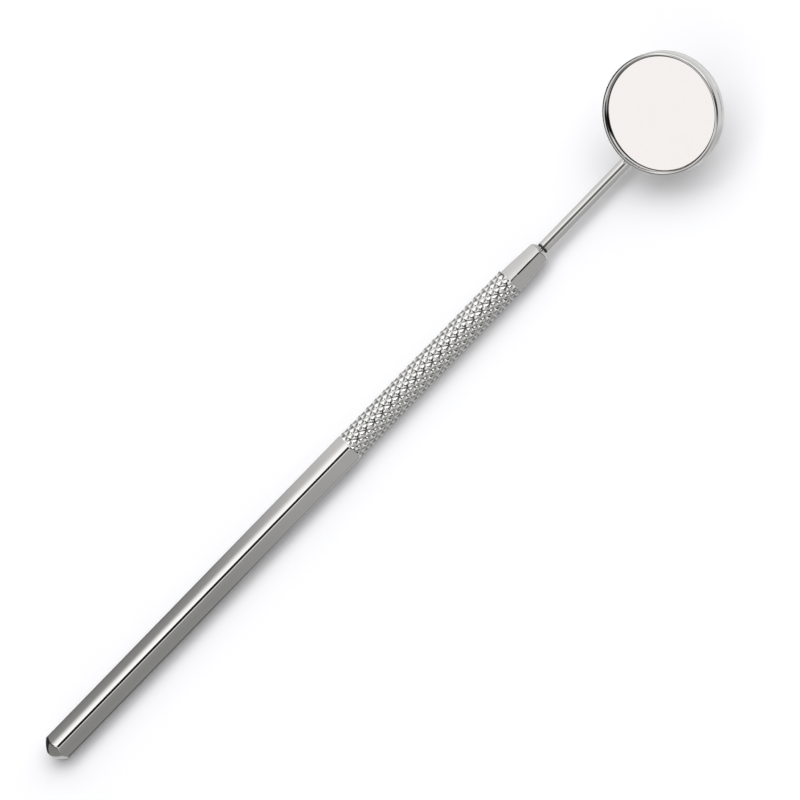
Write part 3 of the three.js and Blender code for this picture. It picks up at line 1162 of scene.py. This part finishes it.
    def solder(self) -> bpy.types.Object:
        """Makes the solder: a concave fillet down both sides of the lap and round its end.

        Returns:
            The mesh object.
        """
        section = self.solder_section()
        start = -self.radius + self.knee
        end = -self.radius + self.lap - self.wire_radius
        there = [(x, -1.0, 0.0) for x in np.linspace(start, end, 14)[:-1]]
        round_end = [(end, math.sin(a), math.cos(a)) for a in np.radians(np.linspace(-90, 90, 33))]
        back = [(x, 1.0, 0.0) for x, _, _ in there[::-1]]
        rings = [
            self.fillet_ring(section, x, side, ahead, min(1.0, 0.35 + (x - start) / 0.8))
            for x, side, ahead in (*there, *round_end, *back)
        ]
        tips = (Vector(rings[0].mean(0)), Vector(rings[-1].mean(0)))
        return skin("solder_joint", rings, tips, self.head_place())

    def fillet_ring(
        self, section: np.ndarray, x: float, side: float, ahead: float, taper: float
    ) -> np.ndarray:
        """Gives one ring of the solder, which is its cross-section at one spot.

        Args:
            section: points of (distance from the lap's middle, height from the cup's back).
            x: where the section's vertical axis stands, in the head's frame.
            side: the section's direction across the lap.
            ahead: the section's direction along the lap.
            taper: how much of its reach the section has.

        Returns:
            The ring's points.
        """
        out = section[:, 0] * taper + section[0, 0] * (1 - taper)
        return np.stack([x + out * ahead, out * side, section[:, 1]], -1)

    def cup(self) -> bpy.types.Object:
        """Makes the pressed cup with its spigot.

        Returns:
            The mesh object.
        """
        spigot = self.radius - self.sheet - self.clearance
        inside = spigot - self.sheet
        corner = (self.cup_corner, self.radius - self.cup_corner)
        top = self.lip_back - self.clearance
        profile = [
            (0, 0), (0, 4), (0, 8), (0, corner[1] - 0.4),
            *arc(corner, self.cup_corner, 180, 90, 14),
            (self.cup_shoulder - self.seam_edge, self.radius),
            (self.cup_shoulder, self.radius - self.seam_edge),
            (self.cup_shoulder, spigot), (top, spigot), (top, inside), (self.cup_back, inside),
            (self.cup_back, 0),
        ]
        made = lathe("mirror_cup", profile, self.head_place())
        crease(made)
        return made

    def bezel(self) -> bpy.types.Object:
        """Makes the bezel with its skirt and the lip that holds the glass.

        Returns:
            The mesh object. Its gap-shade attribute is 1 beside the glass and 0 on the bead; the steel paints
            shade near-black where it is 1.
        """
        skirt = self.radius - self.sheet
        aperture = self.radius - self.lip_width
        crest = (self.height - self.lip_crest, self.radius - self.lip_crest)
        seam = self.cup_shoulder + self.clearance
        edge = self.lip_back + self.lip_edge
        relief = self.lip_relief
        profile = [
            (seam, skirt), (seam, self.radius - self.seam_edge), (seam + self.seam_edge, self.radius),
            (seam + 0.5, self.radius),
            *arc(crest, self.lip_crest, 90, -28, 28),
            (edge + self.bevel_rise, self.radius - self.bead_width),
            (edge + relief, aperture + 0.02), (edge, aperture),
            (self.lip_back + relief, aperture), (self.lip_back, aperture + relief), (self.lip_back, skirt),
        ]
        made = lathe("mirror_bezel", profile, self.head_place())
        # painted shade: the lip beside the glass is painted near-black for the dark gap between the lip and
        # the glass
        inward = (aperture + self.painted_gap_shade_width - np.array(profile)[:, 1]) / self.painted_gap_shade_width
        store(made, "painted_gap_shade", np.repeat(soft_step(2.5 * inward), len(made.data.vertices) // len(profile)))
        crease(made)
        return made

    def seal(self) -> bpy.types.Object:
        """Makes the black ring in the relief groove; its black paints the shade of the gap between the handle
        and the stem's shoulder.

        Returns:
            The mesh object.
        """
        section = self.seal_section / 2
        centre = self.handle.length + self.seal_standoff + section
        profile = arc((0, self.wire_radius - section), section, 0, 360, 24)[:-1]
        axis = Matrix.Translation((centre, 0, 0)) @ Matrix.Rotation(math.pi / 2, 4, "Y")
        return lathe("rubber_seal", profile, Place(self.handle.place.matrix @ axis), 96)

    def build(self, nodes: dict[str, bpy.types.Object]) -> None:
        """Makes and dresses the stem, seal, solder, cup and bezel, and finishes the mirror's discs.

        Args:
            nodes: the frame's own node objects by name.
        """
        for piece, finish, body, node in (
            (self.stem(), WIRE_STEEL, Body.MIRROR, "stem"),
            (self.seal(), GAP_SHADE_RUBBER, Body.SEAL, "seal_ring"),
            (self.solder(), SILVER_SOLDER, Body.MIRROR, "solder_fillet"),
            (self.cup(), HEAD_STEEL, Body.MIRROR, "head_cup"),
            (self.bezel(), HEAD_STEEL, Body.MIRROR, "bezel_ring"),
        ):
            dress(piece, finish, body, node)
        for name, finish in (
            ("mirror_coating", MIRROR_FACE),
            ("mirror_glass", FLOAT_GLASS),
            ("cushion_disc", CORK_PAPER),
        ):
            nodes[name].data.materials.clear()
            nodes[name].data.materials.append(finish.material())
            LOG.info("%s: %s", name, finish.title)


# ---- Studio -------------------------------------------------------------------------------------


Stops = tuple[tuple[float, float], ...]  # where each edge lies, and the brightness there


@dataclass
class Studio:
    """Pale floor, soft light and the camera.

    Long soft strips of light hang round the handle and run along it, and a wall closes each end.
    Angles are degrees round the handle: 0 is its left horizon, 90 overhead and 180 its right one.
    """

    camera_distance: float = 0.9
    camera_roll: float = 30.0  # degrees about the handle, from straight above
    picture_turn: float = 45.82  # degrees that the handle rises to the right
    picture_width: float = 0.14414  # metres of the handle's plane that the picture shows
    centre: tuple[float, float] = (89.77, 0.61)  # mm along the handle and to its lower side
    # Each strip set has a bright strip past the upper flat, a dark gap overhead that the edge
    # beside it shows as a thin dark line, and a grey side that the lower flat shows.
    beside_shank: Stops = (
        (0, 0.25), (30, 0.3), (50, 0.34), (60, 0.42), (65, 1.6), (69, 1.85), (75, 1.85), (79, 0.03),
        (143, 0.02), (149, 1.2), (160, 1.2), (167, 0.46), (180, 0.38), (195, 0.42), (212, 0.2), (225, 0.15),
        (270, 0.2), (315, 0.4), (345, 0.25), (360, 0.25),
    )
    beside_grip: Stops = (
        (0, 0.75), (30, 0.95), (55, 0.95), (60, 1.0), (66, 1.7), (76, 1.9), (80, 0.04), (141, 0.03),
        (147, 1.5), (160, 1.5), (167, 0.66), (195, 0.64), (225, 0.5), (270, 0.6), (315, 0.8), (360, 0.75),
    )
    beside_stem: Stops = (
        (0, 0.85), (30, 1.0), (50, 0.98), (60, 1.05), (66, 1.5), (90, 1.4), (104, 0.2), (132, 0.2),
        (142, 1.2), (156, 1.1), (167, 0.62), (195, 0.62), (225, 0.55), (270, 0.65), (315, 0.8),
        (360, 0.85),
    )
    beside_neck: Stops = (
        (0, 0.85), (30, 1.0), (50, 0.98), (60, 1.05), (66, 1.35), (84, 1.35), (90, 0.03), (158, 0.03),
        (165, 0.62), (195, 0.62), (225, 0.55), (270, 0.65), (315, 0.8), (360, 0.85),
    )
    # The walls face the mirror's ring: their dark parts draw the lines along its bead and lip.
    near_wall: Stops = (
        (0, 0.6), (30, 0.85), (60, 1.5), (132, 1.6), (144, 0.03), (214, 0.03), (224, 0.75), (270, 0.9),
        (315, 0.85), (360, 0.6),
    )
    far_corner: Stops = (
        (0, 0.03), (72, 0.02), (79, 1.4), (84, 1.8), (89, 1.0), (135, 1.0), (165, 0.5),
        (200, 0.3), (250, 0.8), (290, 0.8), (312, 0.05), (360, 0.03),
    )
    far_wall: Stops = (  # from straight down to straight up, in the same degrees
        (0, 0.8), (40, 0.6), (60, 0.34), (106, 0.32), (110, 0.1), (118, 0.1), (126, 0.95), (137, 1.0),
        (145, 1.8), (180, 1.8),
    )
    peak: float = 2.0  # the brightness that a ramp stores as 1
    key_power: float = 25.0
    key_size: float = 3.2  # metres across
    key_distance: float = 2.0
    key_direction: tuple[float, float, float] = (0.28, 0.08, 0.95)
    floor_size: float = 6.0
    floor_colour: str = "#F5F5F7"
    floor_gap: float = 0.02  # mm below the handle

    def directions(self) -> tuple[Vector, Vector, Vector]:
        """Gives the camera's directions.

        Returns:
            The directions to the camera, along the handle, and across the handle as the camera sees it.
        """
        roll = math.radians(self.camera_roll)
        toward = Vector((0, -math.sin(roll), math.cos(roll)))
        along = Vector((1, 0, 0))
        return toward, along, toward.cross(along)

    def camera(self, handle: Handle) -> None:
        """Makes the camera.

        Args:
            handle: the handle that the picture is centred on.
        """
        toward, along, upper = self.directions()
        turn = math.radians(self.picture_turn)
        up = along * math.sin(turn) + upper * math.cos(turn)
        right = up.cross(toward)
        data = bpy.data.cameras.new("camera")
        data.sensor_width = 36
        data.lens = data.sensor_width * self.camera_distance / self.picture_width
        data.clip_start = 0.01
        made = show("camera", data)
        target = (handle.place.matrix.translation + along * self.centre[0] - upper * self.centre[1]) * MM
        matrix = Matrix((right, up, toward)).transposed().to_4x4()
        matrix.translation = target + toward * self.camera_distance
        made.matrix_world = matrix
        bpy.context.scene.camera = made

    def ramp(
        self, tree: bpy.types.NodeTree, angle: bpy.types.NodeSocket, stops: Stops
    ) -> bpy.types.NodeSocket:
        """Adds a wall's or the strips' brightness, as a share of the peak.

        Args:
            tree: the world's node tree.
            angle: the angle that it depends on, as a share of a full turn.
            stops: its edges in degrees, with the brightness at each.

        Returns:
            The brightness's socket.
        """
        made = add_node(tree, "ShaderNodeValToRGB", None, {"Fac": angle})
        elements = made.color_ramp.elements
        while len(elements) < len(stops):
            elements.new(1.0)
        for element, (degrees, brightness) in zip(elements, stops):
            element.position = degrees / 360
            element.color = (*[brightness / self.peak] * 3, 1)
        return made.outputs["Color"]

    def surroundings(self) -> None:
        """Makes the world: long soft strips of light round the handle, and a wall at each end."""
        world = bpy.data.worlds.new("studio")
        world.use_nodes = True
        bpy.context.scene.world = world
        tree = world.node_tree
        ray = add_node(tree, "ShaderNodeTexCoord").outputs["Generated"]
        x, y, z = add_node(tree, "ShaderNodeSeparateXYZ", None, {0: ray}).outputs
        turn = 0.5 / math.pi
        around = work_out("FRACT", work_out("ARCTAN2", Term(z), Term(y)) * turn).socket
        upward = work_out("FRACT", work_out("ARCSINE", Term(z)) * turn + 0.25).socket
        light = self.ramp(tree, around, self.beside_shank)
        neck = self.ramp(tree, around, self.beside_neck)
        for start, end, other in (  # where along x each one starts to take over, and where it has
            (-0.06, -0.01, self.ramp(tree, around, self.beside_grip)),
            (-0.01, 0.025, neck),
            (0.037, 0.042, self.ramp(tree, around, self.beside_stem)),
            (0.08, 0.13, neck),
            (0.28, 0.44, self.ramp(tree, around, self.near_wall)),
            (-0.25, -0.42, self.ramp(tree, around, self.far_corner)),
            (-0.76, -0.85, self.ramp(tree, upward, self.far_wall)),
        ):
            share = add_node(
                tree, "ShaderNodeMapRange", {"interpolation_type": "SMOOTHSTEP"},
                {"Value": x, "From Min": start, "From Max": end},
            )
            light = add_node(
                tree, "ShaderNodeMix", {"data_type": "RGBA"}, {0: share.outputs["Result"], 6: light, 7: other}
            ).outputs[2]
        tree.links.new(light, tree.nodes["Background"].inputs["Color"])
        tree.nodes["Background"].inputs["Strength"].default_value = self.peak

    def key_light(self) -> None:
        """Makes the soft overhead lamp that draws the shadow. Polished steel doesn't show it."""
        data = bpy.data.lights.new("key", "AREA")
        data.shape = "DISK"
        data.size = self.key_size
        data.energy = self.key_power
        made = show("key", data)
        toward = Vector(self.key_direction).normalized()
        made.location = toward * self.key_distance
        made.rotation_euler = toward.to_track_quat("Z", "Y").to_euler()
        made.visible_glossy = False

    def floor(self, level: float) -> None:
        """Makes the pale matt floor. Polished steel shows the studio's lower strips in its place.

        Args:
            level: its height, in metres.
        """
        half = self.floor_size / 2
        mesh = bpy.data.meshes.new("floor")
        corners = [(-half, -half, level), (half, -half, level), (half, half, level), (-half, half, level)]
        mesh.from_pydata(corners, [], [(0, 1, 2, 3)])
        paper = bpy.data.materials.new("White studio paper")
        paper.use_nodes = True
        shader = paper.node_tree.nodes["Principled BSDF"]
        shader.inputs["Base Color"].default_value = linear(self.floor_colour)
        shader.inputs["Roughness"].default_value = 1.0
        shader.inputs["Specular IOR Level"].default_value = 0.0
        mesh.materials.append(paper)
        made = show("floor", mesh)
        made.visible_glossy = False

    def build(self, handle: Handle) -> None:
        """Sets up the floor, the light and the camera.

        Args:
            handle: the handle that the picture is centred on.
        """
        bpy.context.scene.view_settings.view_transform = "Standard"
        self.floor(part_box("handle")[0].z - self.floor_gap * MM)
        self.surroundings()
        self.key_light()
        self.camera(handle)


def main() -> None:
    """Builds the sub-assemblies and the studio."""
    logging.basicConfig(level=logging.INFO, format="%(name)s: %(message)s")
    handle = Handle()
    handle.build()
    MirrorHead(handle).build(frame["nodes"])
    Studio().build(handle)


if __name__ == "__main__":
    main()
